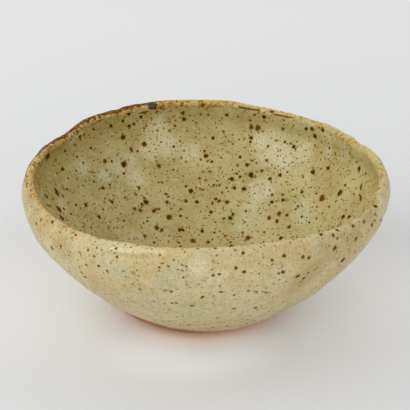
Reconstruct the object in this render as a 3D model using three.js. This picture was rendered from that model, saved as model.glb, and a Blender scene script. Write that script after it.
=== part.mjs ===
// Hand-built stoneware bowl: a pinched clay bowl on a luted foot ring, glazed inside and out.
// Millimetres, +Z up. The origin is the centre of the foot, on the table; +X is the bowl's right side
// and -Y its front.
import * as THREE from "three";

// The pinched bowl, in bare clay
const BELLY_RADIUS = 87.7; // widest radius of the outer wall
const BELLY_HEIGHT = 63.1; // height of that widest place above the table
const NECK_HEIGHT = 7.6; // from the belly up to the crest of the clay lip, before its unevenness
const LIP_THICKNESS = 3.2; // wall at the lip, rounded over
const LIP_LEAN = THREE.MathUtils.degToRad(24); // how far the lip leans in from upright
const HIP_RADIUS = 43.8; // where the wall turns under towards the foot, and the outer glaze stops
const HIP_HEIGHT = 6.3;
const HIP_SLOPE = THREE.MathUtils.degToRad(32); // the wall's slope as it leaves the hip
const HIP_SWEEP = 14.3; // how far the wall keeps that slope
const BELLY_SWEEP = 18.3; // how far below the belly the wall begins to stand upright
const WALL_AT_HIP = 8.5;
const FLOOR_THICKNESS = 5.2; // at the middle of the bowl

// The foot ring, turned from a coil and luted on with slip
const FOOT_HEIGHT = 3.6;
const FOOT_OUTER_RADIUS = 30.6; // at its top, where it is luted
const FOOT_WIDTH = 7.2; // of its top
const FOOT_TAPER = 0.9; // each side leans in by this much towards the table
const FOOT_EDGE = 0.9; // softened edge that meets the table
const SLIP_THICKNESS = 0.4;
const SLIP_BEAD = 0.8; // slip squeezed out past the foot on both sides
const SLIP_OVERLAP = 0.3; // how far the slip spreads on the foot's top beyond its edges
const SEAT_MARGIN = 0.6; // flat seat left on the bowl's underside around the slip
const RECESS_DEPTH = 0.9; // underside turned away inside the foot ring
const RECESS_FLARE = 2; // width of the recess's sloping edge

// The glaze
const GLAZE_THICKNESS = 0.6; // on the walls and the floor
const GLAZE_AT_LIP = 0.35; // it runs thin over the lip
const GLAZE_RUN = 9; // height below the crest over which it thins
const GLAZE_ROLL = 0.3; // extra thickness where the outer coat ends in a roll above the bare clay
const GLAZE_ROLL_HEIGHT = 3;
const GLAZE_SEAT = 0.2; // clearance that keeps the coats apart from the clay and from each other

// Unevenness left by hand, every 30 degrees from +X to +Y, in hundredths of the belly's radius: how far
// the wall swells at the belly and at the lip, and how far the lip rises
const HAND_MARKS = [
  { belly: 2.7, lip: 1.6, rise: 0.2 },
  { belly: -0.2, lip: -0.3, rise: -1.1 },
  { belly: -0.8, lip: -0.7, rise: -1.7 },
  { belly: -0.2, lip: 0, rise: 0.6 },
  { belly: 0.2, lip: 0.7, rise: 1.4 },
  { belly: -0.7, lip: -1, rise: -0.6 },
  { belly: -0.2, lip: -0.5, rise: 0.3 },
  { belly: 1, lip: -0.8, rise: -1.7 },
  { belly: 0.2, lip: 0.3, rise: 0.1 },
  { belly: -0.7, lip: -0.7, rise: 2.5 },
  { belly: -0.5, lip: -0.1, rise: 1.3 },
  { belly: -0.2, lip: 1.1, rise: -1.9 },
];
const MARK_GROWTH = 1.5; // how fast the unevenness fades downwards from the lip

// How finely the curves are stepped
const STEPS_AROUND = 48;
const UNDERSIDE_STEPS = 4;
const WALL_STEPS = 9;
const NECK_STEPS = 2;
const LIP_STEPS = 6;
const FLOOR_STEPS = 5;
const SMALL_CURVE_STEPS = 3;

// Sizes worked out from those above
const LIP_HEIGHT = BELLY_HEIGHT + NECK_HEIGHT;
const FOOT_INNER_RADIUS = FOOT_OUTER_RADIUS - FOOT_WIDTH;
const SEAT_HEIGHT = FOOT_HEIGHT + SLIP_THICKNESS;
const RECESS_HEIGHT = SEAT_HEIGHT + RECESS_DEPTH;
const FLOOR_HEIGHT = RECESS_HEIGHT + FLOOR_THICKNESS;
const EVEN_UP_TO = HIP_HEIGHT + WALL_AT_HIP;
const LIP_RADIUS = LIP_THICKNESS / 2;

const STONEWARE = { color: 0xa8623a, roughness: 0.9, metalness: 0 };
const SLIP = { color: 0xb87448, roughness: 0.95, metalness: 0 };
const ASH_GLAZE = { color: 0xb9ad7c, roughness: 0.3, metalness: 0 };
const PALE_GLAZE = { color: 0xc6ba90, roughness: 0.32, metalness: 0 };
const IRON_GLAZE = { color: 0xa8783a, roughness: 0.35, metalness: 0 };

const point = (radius, height) => new THREE.Vector2(radius, height);

// Every line of points runs with the clay on its left, so this is the way out of the clay.
function outwardAt(line, index) {
  const before = line[Math.max(index - 1, 0)];
  const after = line[Math.min(index + 1, line.length - 1)];
  const along = after.clone().sub(before).normalize();
  return point(along.y, -along.x);
}

// The line moved out of the clay by a distance that may change with height. A point on the axis stays on it.
function offset(line, distanceAt) {
  return line.map((place, index) => {
    const moved = outwardAt(line, index).multiplyScalar(distanceAt(place.y)).add(place);
    return place.x === 0 ? point(0, moved.y) : moved;
  });
}

// The outer wall, from the hip up to the belly and on to the foot of the lip
function outerWall() {
  const hip = point(HIP_RADIUS, HIP_HEIGHT);
  const belly = point(BELLY_RADIUS, BELLY_HEIGHT);
  const lipFootHeight = LIP_HEIGHT - LIP_RADIUS * (1 - Math.sin(LIP_LEAN));
  const neckBend = point(BELLY_RADIUS, (BELLY_HEIGHT + lipFootHeight) / 2);
  const turnIn = (lipFootHeight - neckBend.y) * Math.tan(LIP_LEAN);
  const leaveHip = point(Math.cos(HIP_SLOPE), Math.sin(HIP_SLOPE)).multiplyScalar(HIP_SWEEP).add(hip);
  const reachBelly = point(belly.x, belly.y - BELLY_SWEEP);
  const wall = new THREE.CubicBezierCurve(hip, leaveHip, reachBelly, belly);
  const neck = new THREE.QuadraticBezierCurve(belly, neckBend, point(BELLY_RADIUS - turnIn, lipFootHeight));
  return [...wall.getSpacedPoints(WALL_STEPS), ...neck.getPoints(NECK_STEPS).slice(1)];
}

// The lip's half round, which goes on from the outer wall's lean
function lipRound(outer) {
  const foot = outer.at(-1);
  const centreX = foot.x - LIP_RADIUS * Math.cos(LIP_LEAN);
  const centreY = foot.y - LIP_RADIUS * Math.sin(LIP_LEAN);
  const round = new THREE.EllipseCurve(
    centreX, centreY, LIP_RADIUS, LIP_RADIUS, LIP_LEAN, LIP_LEAN + Math.PI,
  );
  return round.getPoints(LIP_STEPS);
}

// The inner wall follows the outer one at the wall's thickness, which grows from the lip to the hip.
function innerWall(outer, lip) {
  const rise = outer.at(-1).y - HIP_HEIGHT;
  const thicknessAt = (height) =>
    THREE.MathUtils.lerp(WALL_AT_HIP, LIP_THICKNESS, (height - HIP_HEIGHT) / rise);
  const inner = offset(outer, (height) => -thicknessAt(height)).reverse();
  return [lip.at(-1), ...inner.slice(1)];
}

// The floor runs on from the inner wall at its slope and ends level at the middle.
function innerFloor(inner) {
  const start = inner.at(-1);
  const bend = point(start.x - (start.y - FLOOR_HEIGHT) / Math.tan(HIP_SLOPE), FLOOR_HEIGHT);
  const floor = new THREE.QuadraticBezierCurve(start, bend, point(0, FLOOR_HEIGHT));
  return floor.getPoints(FLOOR_STEPS).slice(1);
}

// The underside, from its middle out to the hip: the recess, the flat seat of the foot, and the bare hip
function underside() {
  const seatInner = FOOT_INNER_RADIUS - SLIP_BEAD - SEAT_MARGIN;
  const seatOuter = FOOT_OUTER_RADIUS + SLIP_BEAD + SEAT_MARGIN;
  const bend = HIP_RADIUS - (HIP_HEIGHT - SEAT_HEIGHT) / Math.tan(HIP_SLOPE);
  const line = new THREE.Path();
  line.moveTo(0, RECESS_HEIGHT);
  line.lineTo(seatInner - RECESS_FLARE, RECESS_HEIGHT);
  line.lineTo(seatInner, SEAT_HEIGHT);
  line.lineTo(seatOuter, SEAT_HEIGHT);
  line.quadraticCurveTo(bend, SEAT_HEIGHT, HIP_RADIUS, HIP_HEIGHT);
  return line.getPoints(UNDERSIDE_STEPS);
}

// Turns a profile round the bowl's axis, as on the wheel.
function turned(profile) {
  return new THREE.LatheGeometry(profile, STEPS_AROUND).rotateX(Math.PI / 2);
}

// Presses the marks of the hand into a turned shape: none at the floor, all of them at the lip. Each point
// of the profile moves as the clay does at its clay height, so a coat of glaze keeps its seat.
const marksInPlace = HAND_MARKS.map(({ belly, lip, rise }) => new THREE.Vector3(belly, lip, rise));
marksInPlace.forEach((mark) => mark.multiplyScalar(BELLY_RADIUS / 100));
const handMarks = new THREE.CatmullRomCurve3(marksInPlace, true, "catmullrom");
function pressed(geometry, clayHeights) {
  const places = geometry.getAttribute("position");
  const place = new THREE.Vector3();
  for (let i = 0; i < places.count; i++) {
    place.fromBufferAttribute(places, i);
    const height = clayHeights[i % clayHeights.length];
    const radius = Math.hypot(place.x, place.y);
    const share = THREE.MathUtils.clamp((height - EVEN_UP_TO) / (LIP_HEIGHT - EVEN_UP_TO), 0, 1);
    if (share === 0 || radius === 0) continue;
    const turn = THREE.MathUtils.euclideanModulo(Math.atan2(place.y, place.x) / (2 * Math.PI), 1);
    const { x: belly, y: lip, z: rise } = handMarks.getPoint(turn).multiplyScalar(share ** MARK_GROWTH);
    const towardsLip = THREE.MathUtils.smoothstep(height, BELLY_HEIGHT, LIP_HEIGHT);
    const stretch = 1 + THREE.MathUtils.lerp(belly, lip, towardsLip) / radius;
    places.setXYZ(i, place.x * stretch, place.y * stretch, place.z + rise);
  }
  return geometry;
}

function piece(name, geometry, finish) {
  const mesh = new THREE.Mesh(geometry, new THREE.MeshStandardMaterial(finish));
  mesh.name = name;
  return mesh;
}

// The clay's glazed surface, as one line: up the outer wall, over the lip, and down to the middle of the floor
const outer = outerWall();
const lip = lipRound(outer);
const inner = innerWall(outer, lip);
const surface = [...outer, ...lip.slice(1), ...inner.slice(1), ...innerFloor(inner)];
const LIP_START = outer.length - 1;
const LIP_END = LIP_START + LIP_STEPS;

function clayBowl() {
  const profile = [...underside(), ...surface.slice(1)];
  const heights = profile.map(({ y }) => y);
  return piece("clay_bowl", pressed(turned(profile), heights), STONEWARE);
}

function footRing() {
  const outerFoot = FOOT_OUTER_RADIUS - FOOT_TAPER;
  const innerFoot = FOOT_INNER_RADIUS + FOOT_TAPER;
  const ring = new THREE.Path();
  ring.moveTo(innerFoot + FOOT_EDGE, 0);
  ring.lineTo(outerFoot - FOOT_EDGE, 0);
  ring.quadraticCurveTo(outerFoot, 0, outerFoot, FOOT_EDGE);
  ring.lineTo(FOOT_OUTER_RADIUS, FOOT_HEIGHT);
  ring.lineTo(FOOT_INNER_RADIUS, FOOT_HEIGHT);
  ring.lineTo(innerFoot, FOOT_EDGE);
  ring.quadraticCurveTo(innerFoot, 0, innerFoot + FOOT_EDGE, 0);
  return piece("foot_ring", turned(ring.getPoints(SMALL_CURVE_STEPS)), STONEWARE);
}

// Slip holds the foot on. It fills the joint and bulges out a little on both sides.
function lutingSlip() {
  const topOuter = FOOT_OUTER_RADIUS + SLIP_BEAD;
  const topInner = FOOT_INNER_RADIUS - SLIP_BEAD;
  const slip = new THREE.Path();
  slip.moveTo(FOOT_INNER_RADIUS - SLIP_OVERLAP, FOOT_HEIGHT);
  slip.lineTo(FOOT_OUTER_RADIUS + SLIP_OVERLAP, FOOT_HEIGHT);
  slip.quadraticCurveTo(topOuter, FOOT_HEIGHT, topOuter, SEAT_HEIGHT);
  slip.lineTo(topInner, SEAT_HEIGHT);
  slip.quadraticCurveTo(topInner, FOOT_HEIGHT, FOOT_INNER_RADIUS - SLIP_OVERLAP, FOOT_HEIGHT);
  return piece("luting_slip", turned(slip.getPoints(SMALL_CURVE_STEPS)), SLIP);
}

// A glaze's thickness thins over the lip and swells into a roll above the bare hip.
function glazeThickness(height) {
  const thinning = THREE.MathUtils.smoothstep(height, LIP_HEIGHT - GLAZE_RUN, LIP_HEIGHT);
  return THREE.MathUtils.lerp(GLAZE_THICKNESS, GLAZE_AT_LIP, thinning);
}

function rolledThickness(height) {
  const roll = 1 - THREE.MathUtils.smoothstep(height, HIP_HEIGHT, HIP_HEIGHT + GLAZE_ROLL_HEIGHT);
  return glazeThickness(height) + GLAZE_ROLL * roll;
}

// A coat of glaze over a stretch of the clay's surface. It draws back a little from the coats beside it.
function coat(name, from, to, thicknessAt, finish) {
  const stretch = (distanceAt) => {
    const line = offset(surface, distanceAt).slice(from, to + 1);
    const [start, afterStart] = line;
    const [beforeEnd, end] = line.slice(-2);
    const inwards = (place, next) => next.clone().sub(place).setLength(GLAZE_SEAT / 2).add(place);
    if (from > 0) line[0] = inwards(start, afterStart);
    if (to < surface.length - 1) line[line.length - 1] = inwards(end, beforeEnd);
    return line;
  };
  const underneath = stretch(() => GLAZE_SEAT);
  const face = stretch((height) => GLAZE_SEAT + thicknessAt(height));
  const profile = [...underneath.reverse(), ...face];
  const clay = surface.slice(from, to + 1).map(({ y }) => y);
  const heights = [...clay.toReversed(), ...clay];
  if (face.at(-1).x !== 0) {
    profile.push(profile[0].clone());
    heights.push(heights[0]);
  }
  return piece(name, pressed(turned(profile), heights), finish);
}

function outerGlaze() {
  return coat("outer_glaze", 0, LIP_START, rolledThickness, PALE_GLAZE);
}

function lipGlaze() {
  return coat("lip_glaze", LIP_START, LIP_END, glazeThickness, IRON_GLAZE);
}

function innerGlaze() {
  return coat("inner_glaze", LIP_END, surface.length - 1, glazeThickness, ASH_GLAZE);
}

const bowl = new THREE.Group();
bowl.add(clayBowl(), lutingSlip(), footRing(), outerGlaze(), lipGlaze(), innerGlaze());

export default bowl;
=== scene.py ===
# The looks of a hand-pinched stoneware bowl with a speckled ash glaze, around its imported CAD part.
# Metres, +Z up. The origin is the centre of the foot, on the table; -Y is the bowl's front.
import bisect
import math
import random

import bmesh
import bpy
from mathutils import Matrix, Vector, noise
from mathutils.bvhtree import BVHTree
from mathutils.geometry import interpolate_bezier
from mathutils.kdtree import KDTree


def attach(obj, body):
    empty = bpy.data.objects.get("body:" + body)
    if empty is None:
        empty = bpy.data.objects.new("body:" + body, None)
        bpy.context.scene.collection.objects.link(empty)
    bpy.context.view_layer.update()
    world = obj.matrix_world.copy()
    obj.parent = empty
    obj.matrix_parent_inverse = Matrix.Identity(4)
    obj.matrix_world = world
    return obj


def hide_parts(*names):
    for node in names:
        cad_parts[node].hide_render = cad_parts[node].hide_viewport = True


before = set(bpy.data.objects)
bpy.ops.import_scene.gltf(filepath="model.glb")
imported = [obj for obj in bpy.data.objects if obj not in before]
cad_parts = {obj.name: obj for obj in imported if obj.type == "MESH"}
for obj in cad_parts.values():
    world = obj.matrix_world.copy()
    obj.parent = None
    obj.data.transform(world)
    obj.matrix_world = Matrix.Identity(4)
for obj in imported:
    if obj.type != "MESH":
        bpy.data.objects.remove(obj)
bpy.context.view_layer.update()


# Camera. It looks down into the bowl from the front, through a long lens, as the photograph does.
IMAGE_SIZE = 410  # pixels, both ways
LENS_IN_PIXELS = 1728.3
CAMERA_AIM = Vector((0.0004, 0, 0.052))
CAMERA_DISTANCE = 0.846
CAMERA_ELEVATION = math.radians(26.87)

camera_data = bpy.data.cameras.new("camera")
camera_data.lens = camera_data.sensor_width * LENS_IN_PIXELS / IMAGE_SIZE
camera = bpy.data.objects.new("camera", camera_data)
backwards = Vector((0, -math.cos(CAMERA_ELEVATION), math.sin(CAMERA_ELEVATION)))
camera.location = CAMERA_AIM + CAMERA_DISTANCE * backwards
camera.rotation_euler = (math.pi / 2 - CAMERA_ELEVATION, 0, 0)
bpy.context.scene.collection.objects.link(camera)
bpy.context.scene.camera = camera


def sight(x, y):
    """The direction from the camera through a pixel of the photograph."""
    half = IMAGE_SIZE / 2
    seen = Vector(((x - half) / LENS_IN_PIXELS, (half - y) / LENS_IN_PIXELS, -1))
    return (camera.rotation_euler.to_matrix() @ seen).normalized()


# Clay bowl. One lump of iron-bearing stoneware, pinched out by hand, pared with a knife while stiff and
# fired to orange-brown. It stays bare on its underside, up to the line where the outer glaze stops.
BELLY_RADIUS = 0.0877
BELLY_HEIGHT = 0.0631
LIP_HEIGHT = BELLY_HEIGHT + 0.0076
LIP_RADIUS = 0.0016
LIP_LEAN = math.radians(24)
HIP_RADIUS = 0.0438
HIP_HEIGHT = 0.0063
HIP_SLOPE = math.radians(32)
HIP_SWEEP = 0.0143
BELLY_SWEEP = 0.0183
WALL_AT_HIP = 0.0085
SEAT_HEIGHT = 0.004
RECESS_HEIGHT = 0.0049
RECESS_RADIUS = 0.02
SEAT_RADII = (0.022, 0.032)
FLOOR_HEIGHT = 0.0101
EVEN_UP_TO = HIP_HEIGHT + WALL_AT_HIP
ARCS_AROUND = 16
STEPS_IN_ARC = 24

# What the fingers left, every 30 degrees from +X to +Y, in hundredths of the belly's radius: the wall's
# swell at the belly and at the lip, and the lip's rise
HAND_MARKS = [
    Vector(mark) * BELLY_RADIUS / 100
    for mark in (
        (2.7, 1.6, 0.2), (-0.2, -0.3, -1.1), (-0.8, -0.7, -1.7), (-0.2, 0, 0.6),
        (0.2, 0.7, 1.4), (-0.7, -1, -0.6), (-0.2, -0.5, 0.3), (1, -0.8, -1.7),
        (0.2, 0.3, 0.1), (-0.7, -0.7, 2.5), (-0.5, -0.1, 1.3), (-0.2, 1.1, -1.9),
    )
]
# Powers of the height up the wall by which the marks grow, then the small swells and the lip's small rises
MARK_GROWTH = 1.5
SWELL_GROWTH = 3
RISE_GROWTH = 6
DENT_WIDTH = 0.019
DENT_DEPTH = 0.0009
RIPPLE_WIDTH = 0.0075
RIPPLE_DEPTH = 0.00035
RIPPLE_SHIFT = Vector((3, 5, 7))
LIP_WAVES = ((0.0004, 8), (0.00024, 29))  # how far the lip strays, in long waves and in short ones
# Small bends of the lip and the belly: the side each faces, in degrees from +X, how wide it is, how far the
# lip lifts there and how far the wall swells
BENDS = ((100, 60, -0.0004, 0), (17, 6, -0.0006, 0), (25, 3.5, -0.0014, 0), (34, 3, -0.0006, 0),
         (42, 4, 0.0006, 0), (46.5, 3, -0.0003, 0), (70, 4, -0.0003, 0), (78, 3, 0.0004, 0),
         (94.5, 4, -0.0005, 0), (102, 4, -0.0002, 0), (110, 3, -0.0004, 0), (116, 4, -0.0004, 0),
         (121.5, 2, -0.0009, 0), (126.5, 3, -0.0003, 0), (136, 3, 0.0008, 0), (142.5, 2.5, -0.0003, 0),
         (147.5, 5.5, -0.0013, 0), (156, 4, -0.0006, 0), (168, 5, -0.0004, 0), (246, 6, 0.0005, 0),
         (187, 8, 0, 0.0006), (203, 4, 0, 0.0006), (320, 9, 0, 0.0005), (338, 3.5, 0, 0.0016),
         (343.5, 2.5, 0, -0.0003), (355.5, 4, 0, 0.0006))
BENT_STEPS = 720
# A fold of clay under the lip's outer edge, at the front left. It nears the crest with each degree, and a
# groove runs two widths below it
FOLD_REACH = -0.0035
FOLD_CLIMB = 0.00013
FOLD_WAVES = ((0.0013, 24),)
FOLD_WIDTH = 0.0011
FOLD_DEPTH = 0.0010
FOLD_GROOVE = 0.6  # its depth, as a share of the fold's
FOLD_SIDE = 247.5
FOLD_LENGTH = 7  # degrees, each way
# Ridges that the knife left low on the wall, at the glaze line: the side, the length in degrees, the height,
# the width and the depth
RIDGES = ((231, 11, 0.0100, 0.0028, 0.0012), (258, 20, 0.0078, 0.0030, 0.0020))
# Where the wall was left thick inside, under the lip: the side, the length in degrees, the way from the
# crest, the width and the depth
THICK_NECK = (42, 46, 0.0062, 0.0042, 0.0014)
# Brown stains that the wiped glaze left on the clay, darkened further as painted shade at the bowl's lowest
# edge: the side, the width in degrees and the colour's depth
STAINS_AND_SHADE = ((274, 42, 1), (231, 14, 0.6))
STAIN_AND_SHADE_REACH = 0.004
# Knife facets on the lower wall: the way each faces, in degrees from +X, its height and how deep it bites
PARED_FACETS = ((8, 0.030, 0.0007), (52, 0.026, 0.0006), (96, 0.031, 0.0007), (140, 0.027, 0.0006),
                (186, 0.032, 0.0007), (228, 0.027, 0.0006), (262, 0.022, 0.0005), (308, 0.018, 0.0010),
                (334, 0.036, 0.0003), (208, 0.032, 0.0005))
FACET_HALF_WIDTH = 0.021
FACET_HALF_HEIGHT = 0.019
FACET_ROUNDING = 0.75


def at(radius, height):
    return Vector((radius, 0, height))


def curve(start, corner, end, count):
    """Points on a curve that leaves start towards corner and reaches end from it."""
    return interpolate_bezier(start, start.lerp(corner, 2 / 3), end.lerp(corner, 2 / 3), end, count)


def offset(line, distance_at):
    """The line moved out of the clay, which lies on its left. A point on the axis stays on it."""
    moved = []
    for i, place in enumerate(line):
        along = (line[min(i + 1, len(line) - 1)] - line[max(i - 1, 0)]).normalized()
        out = place + Vector((along.z, 0, -along.x)) * distance_at(place.z)
        moved.append(at(0 if place.x == 0 else out.x, out.z))
    return moved


def smoothstep(value, low, high):
    share = min(max((value - low) / (high - low), 0), 1)
    return share * share * (3 - 2 * share)


def mixed_between(a, b, share):
    return a + (b - a) * share


def degrees_away(side, facing):
    """The way round from one side to another, at most 180 degrees either way."""
    return (side - facing + 180) % 360 - 180


def bell(way, width):
    """1 in the middle, dying away to both sides."""
    return math.exp(-((way / width) ** 2))


def waves_round(out, waves):
    """How far a line round the bowl strays, on the side that out faces."""
    return sum(stray * noise.noise(out * closeness) for stray, closeness in waves)


# The glazed surface as one line: from the hip up the outer wall, over the lip and down to the floor's middle
hip = at(HIP_RADIUS, HIP_HEIGHT)
belly = at(BELLY_RADIUS, BELLY_HEIGHT)
lip_foot_height = LIP_HEIGHT - LIP_RADIUS * (1 - math.sin(LIP_LEAN))
neck_bend = at(BELLY_RADIUS, (BELLY_HEIGHT + lip_foot_height) / 2)
lip_foot = at(BELLY_RADIUS - (lip_foot_height - neck_bend.z) * math.tan(LIP_LEAN), lip_foot_height)
leave_hip = hip + HIP_SWEEP * at(math.cos(HIP_SLOPE), math.sin(HIP_SLOPE))
outer_wall = interpolate_bezier(hip, leave_hip, belly - at(0, BELLY_SWEEP), belly, 100)
outer_wall += curve(belly, neck_bend, lip_foot, 18)[1:]
lip_centre = lip_foot - LIP_RADIUS * at(math.cos(LIP_LEAN), math.sin(LIP_LEAN))
lip_turns = [LIP_LEAN + math.pi * step / 16 for step in range(17)]
lip_round = [lip_centre + LIP_RADIUS * at(math.cos(turn), math.sin(turn)) for turn in lip_turns]
wall_rise = lip_foot.z - HIP_HEIGHT
inner_wall = offset(
    outer_wall, lambda z: -mixed_between(WALL_AT_HIP, 2 * LIP_RADIUS, (z - HIP_HEIGHT) / wall_rise),
)[::-1]
floor_start = inner_wall[-1]
floor_bend = at(floor_start.x - (floor_start.z - FLOOR_HEIGHT) / math.tan(HIP_SLOPE), FLOOR_HEIGHT)
inner_floor = curve(floor_start, floor_bend, at(0, FLOOR_HEIGHT), 36)
glazed = outer_wall + lip_round[1:] + inner_wall[1:] + inner_floor[1:]
LIP_START = len(outer_wall) - 1
LIP_END = LIP_START + len(lip_round) - 1

# How far along that line each point is from the lip's crest: less than 0 outside, more than 0 inside
crest = max(range(len(glazed)), key=lambda i: glazed[i].z)
reaches = [0.0]
for before, after in zip(glazed, glazed[1:]):
    reaches.append(reaches[-1] + (after - before).length)
reaches = [reach - reaches[crest] for reach in reaches]


def turned(outline, heights, ways, closed=True, steps_in_arc=STEPS_IN_ARC):
    """Spins an outline round the axis, an arc at a time. A vertex keeps its height and reach on the clay."""
    bm = bmesh.new()
    height = bm.verts.layers.float.new("height")
    reach = bm.verts.layers.float.new("reach")
    verts = []
    for place, its_height, its_reach in zip(outline, heights, ways):
        vert = bm.verts.new(place)
        vert[height] = its_height
        vert[reach] = its_reach
        verts.append(vert)
    edges = [bm.edges.new(pair) for pair in zip(verts, verts[1:])]
    if closed:
        edges.append(bm.edges.new((verts[-1], verts[0])))
    arc = math.tau / ARCS_AROUND
    bmesh.ops.spin(bm, geom=verts + edges, cent=(0, 0, 0), axis=(0, 0, 1), angle=arc, steps=steps_in_arc)
    bmesh.ops.spin(bm, geom=bm.verts[:] + bm.edges[:] + bm.faces[:], cent=(0, 0, 0), axis=(0, 0, 1),
                   angle=math.tau - arc, steps=ARCS_AROUND - 1, use_duplicate=True)
    bmesh.ops.remove_doubles(bm, verts=bm.verts[:], dist=1e-7)
    bmesh.ops.recalc_face_normals(bm, faces=bm.faces[:])
    return bm


def hand_mark(turn):
    """The swell and rise at a turn from 0 to 1, on a smooth closed curve through the marks."""
    place = turn % 1 * len(HAND_MARKS)
    first = int(place)
    t = place - first
    p, q, r, s = (HAND_MARKS[(first + step) % len(HAND_MARKS)] for step in (-1, 0, 1, 2))
    return 0.5 * (2 * q + (r - p) * t + (2 * p - 5 * q + 4 * r - s) * t * t + (3 * q - p - 3 * r + s) * t**3)


def bend_at(side):
    """How far the lip lifts and the wall swells in the small bends, on that side."""
    bend = Vector((0, 0))
    for facing, width, lift, bulge in BENDS:
        bend += Vector((lift, bulge)) * bell(degrees_away(side, facing), width)
    return bend


bent = [bend_at(step * 360 / BENT_STEPS) for step in range(BENT_STEPS)]


def pressed(bm):
    """Presses the marks of the hand and the knife into a turned piece: none at the floor, most at the lip."""
    height = bm.verts.layers.float["height"]
    reach = bm.verts.layers.float["reach"]
    for vert in bm.verts:
        radius = math.hypot(vert.co.x, vert.co.y)
        if radius == 0:
            continue
        out = Vector((vert.co.x, vert.co.y, 0)) / radius
        turn = math.atan2(out.y, out.x) / math.tau
        side = turn * 360 % 360
        share = min(max((vert[height] - EVEN_UP_TO) / (LIP_HEIGHT - EVEN_UP_TO), 0), 1)
        mark = hand_mark(turn) * share**MARK_GROWTH
        swell = mixed_between(mark.x, mark.y, smoothstep(vert[height], BELLY_HEIGHT, LIP_HEIGHT))
        dents = DENT_DEPTH * noise.noise(vert.co / DENT_WIDTH)
        ripples = RIPPLE_DEPTH * noise.noise(vert.co / RIPPLE_WIDTH + RIPPLE_SHIFT)
        swell += (dents + ripples) * smoothstep(vert[height], SEAT_HEIGHT, EVEN_UP_TO)
        if vert[reach] < 0:
            for facing, facet_height, bite in PARED_FACETS:
                across = math.radians(degrees_away(side, facing)) * radius / FACET_HALF_WIDTH
                spread = across**2 + ((vert[height] - facet_height) / FACET_HALF_HEIGHT) ** 2
                swell -= bite * max(1 - spread, 0) ** FACET_ROUNDING
            for facing, length, ridge_height, width, depth in RIDGES:
                along_ridge = bell(degrees_away(side, facing), length)
                swell += depth * along_ridge * bell(vert[height] - ridge_height, width)
        else:
            facing, length, neck_reach, width, depth = THICK_NECK
            along_neck = bell(degrees_away(side, facing), length)
            swell -= depth * along_neck * bell(vert[reach] - neck_reach, width)
        bend = bent[round(side * BENT_STEPS / 360) % BENT_STEPS]
        swell += bend.y * share**SWELL_GROWTH
        from_fold = degrees_away(side, FOLD_SIDE)
        fold_way = vert[reach] - FOLD_REACH - FOLD_CLIMB * from_fold + waves_round(out, FOLD_WAVES)
        fold = bell(fold_way, FOLD_WIDTH) - FOLD_GROOVE * bell(fold_way + 2 * FOLD_WIDTH, FOLD_WIDTH)
        swell += FOLD_DEPTH * fold * math.exp(-((from_fold / FOLD_LENGTH) ** 4))
        vert.co += out * swell
        vert.co.z += mark.z + (bend.x + waves_round(out, LIP_WAVES)) * share**RISE_GROWTH
    return bm


def plug(tree, into, sockets):
    """Gives each socket of a node a number, a colour or another node's output."""
    for name, value in sockets.items():
        if isinstance(value, bpy.types.NodeSocket):
            tree.links.new(value, into.inputs[name])
        else:
            into.inputs[name].default_value = value


def node(tree, kind, sockets=None, **settings):
    made = tree.nodes.new("ShaderNode" + kind)
    for name, value in settings.items():
        setattr(made, name, value)
    plug(tree, made, sockets or {})
    return made


def noise_at(tree, place, scale, detail=2.0, roughness=0.5):
    """Cloudy noise, with about that many clouds to a metre."""
    made = node(tree, "TexNoise", {"Vector": place, "Scale": scale, "Detail": detail, "Roughness": roughness})
    return made.outputs["Fac"]


def between(tree, value, low, high, to_low=0.0, to_high=1.0):
    """The value's way from low to high, eased and held at both ends."""
    sockets = {"Value": value, "From Min": low, "From Max": high, "To Min": to_low, "To Max": to_high}
    return node(tree, "MapRange", sockets, interpolation_type="SMOOTHSTEP").outputs["Result"]


def maths(tree, operation, a, b=0.0):
    return node(tree, "Math", {0: a, 1: b}, operation=operation).outputs[0]


def vector_maths(tree, operation, a, b=(0, 0, 0)):
    """As maths, for vectors. SCALE takes a number, and LENGTH and DISTANCE give one."""
    sockets = {0: a, "Scale": b} if operation == "SCALE" else {0: a, 1: b}
    made = node(tree, "VectorMath", sockets, operation=operation)
    return made.outputs["Value" if operation in ("LENGTH", "DISTANCE") else "Vector"]


def mix(tree, share, below, above, way="MIX"):
    """One colour laid over another."""
    sockets = {0: share, 6: below, 7: above}
    return node(tree, "Mix", sockets, data_type="RGBA", blend_type=way).outputs[2]


def tint(red, green, blue):
    """A colour read as 0 to 255 on a screen, as the shaders want it."""
    def linear(value):
        value /= 255
        return value / 12.92 if value <= 0.04045 else ((value + 0.055) / 1.055) ** 2.4
    return (linear(red), linear(green), linear(blue), 1)


def bump(tree, height, strength, distance):
    sockets = {"Height": height, "Strength": strength, "Distance": distance}
    return node(tree, "Bump", sockets).outputs["Normal"]


def new_material(name):
    """A material, its node tree and its shader."""
    material = bpy.data.materials.new(name)
    material.use_nodes = True
    return material, material.node_tree, material.node_tree.nodes["Principled BSDF"]


GRAIN_TINT = tint(74, 48, 34)
# Brown of the wiped glaze's stains, also the painted shade at the bowl's lowest edge
STAIN_AND_SHADE_TINT = tint(116, 84, 44)


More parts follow.
